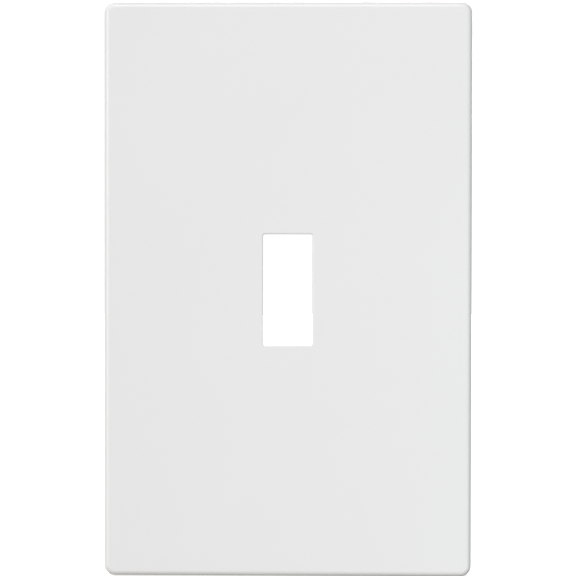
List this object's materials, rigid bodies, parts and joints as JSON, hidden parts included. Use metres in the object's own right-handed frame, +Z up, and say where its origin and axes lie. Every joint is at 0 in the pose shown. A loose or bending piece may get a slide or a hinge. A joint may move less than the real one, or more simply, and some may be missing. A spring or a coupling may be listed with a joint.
{
  "type": "wall plate cover",
  "caption": "Screwless toggle switch wall plate: a plain clip-on cover with a rectangular window, over a screwed mounting plate with side snap fingers.",
  "frame": {"origin": "on the wall plane, midway between the two mounting screws", "axes": "+Z up the wall, +X to the right seen from the room, +Y into the wall"},
  "size_m": [0.0794, 0.0197, 0.1238],
  "materials": {
    "cover_plastic": "smooth white thermoplastic, low gloss",
    "plate_plastic": "moulded white thermoplastic, matte",
    "screw_steel": "zinc plated",
    "retainer_fibre": "vulcanised fibre sheet"
  },
  "bodies": {
    "mounting_plate": {"mounting_plate": "plate_plastic"},
    "cover": {"cover_plate": "cover_plastic"},
    "screw_upper": {"mounting_screw_upper": "screw_steel", "screw_retainer_upper": "retainer_fibre"},
    "screw_lower": {"mounting_screw_lower": "screw_steel", "screw_retainer_lower": "retainer_fibre"},
    "finger_upper_right": {"snap_finger_upper_right": "plate_plastic"},
    "finger_upper_left": {"snap_finger_upper_left": "plate_plastic"},
    "finger_lower_right": {"snap_finger_lower_right": "plate_plastic"},
    "finger_lower_left": {"snap_finger_lower_left": "plate_plastic"}
  },
  "joints": [
    {"name": "cover_pull_off", "type": "slide", "parent": "mounting_plate", "child": "cover", "axis": [0, -1, 0], "range_m": [0, 0.03]},
    {"name": "screw_upper_turn", "type": "hinge", "parent": "mounting_plate", "child": "screw_upper", "pos_m": [0, 0, 0.03016], "axis": [0, 1, 0], "continuous": true},
    {"name": "screw_lower_turn", "type": "hinge", "parent": "mounting_plate", "child": "screw_lower", "pos_m": [0, 0, -0.03016], "axis": [0, 1, 0], "continuous": true},
    {"name": "finger_upper_right_flex", "type": "hinge", "parent": "mounting_plate", "child": "finger_upper_right", "pos_m": [0.0339, 0, 0.027], "axis": [0, -1, 0], "range_deg": [0, 3], "stiffness_Nm_per_rad": 0.5},
    {"name": "finger_upper_left_flex", "type": "hinge", "parent": "mounting_plate", "child": "finger_upper_left", "pos_m": [-0.0339, 0, 0.027], "axis": [0, 1, 0], "range_deg": [0, 3], "stiffness_Nm_per_rad": 0.5},
    {"name": "finger_lower_right_flex", "type": "hinge", "parent": "mounting_plate", "child": "finger_lower_right", "pos_m": [0.0339, 0, -0.027], "axis": [0, 1, 0], "range_deg": [0, 3], "stiffness_Nm_per_rad": 0.5},
    {"name": "finger_lower_left_flex", "type": "hinge", "parent": "mounting_plate", "child": "finger_lower_left", "pos_m": [-0.0339, 0, -0.027], "axis": [0, -1, 0], "range_deg": [0, 3], "stiffness_Nm_per_rad": 0.5}
  ]
}
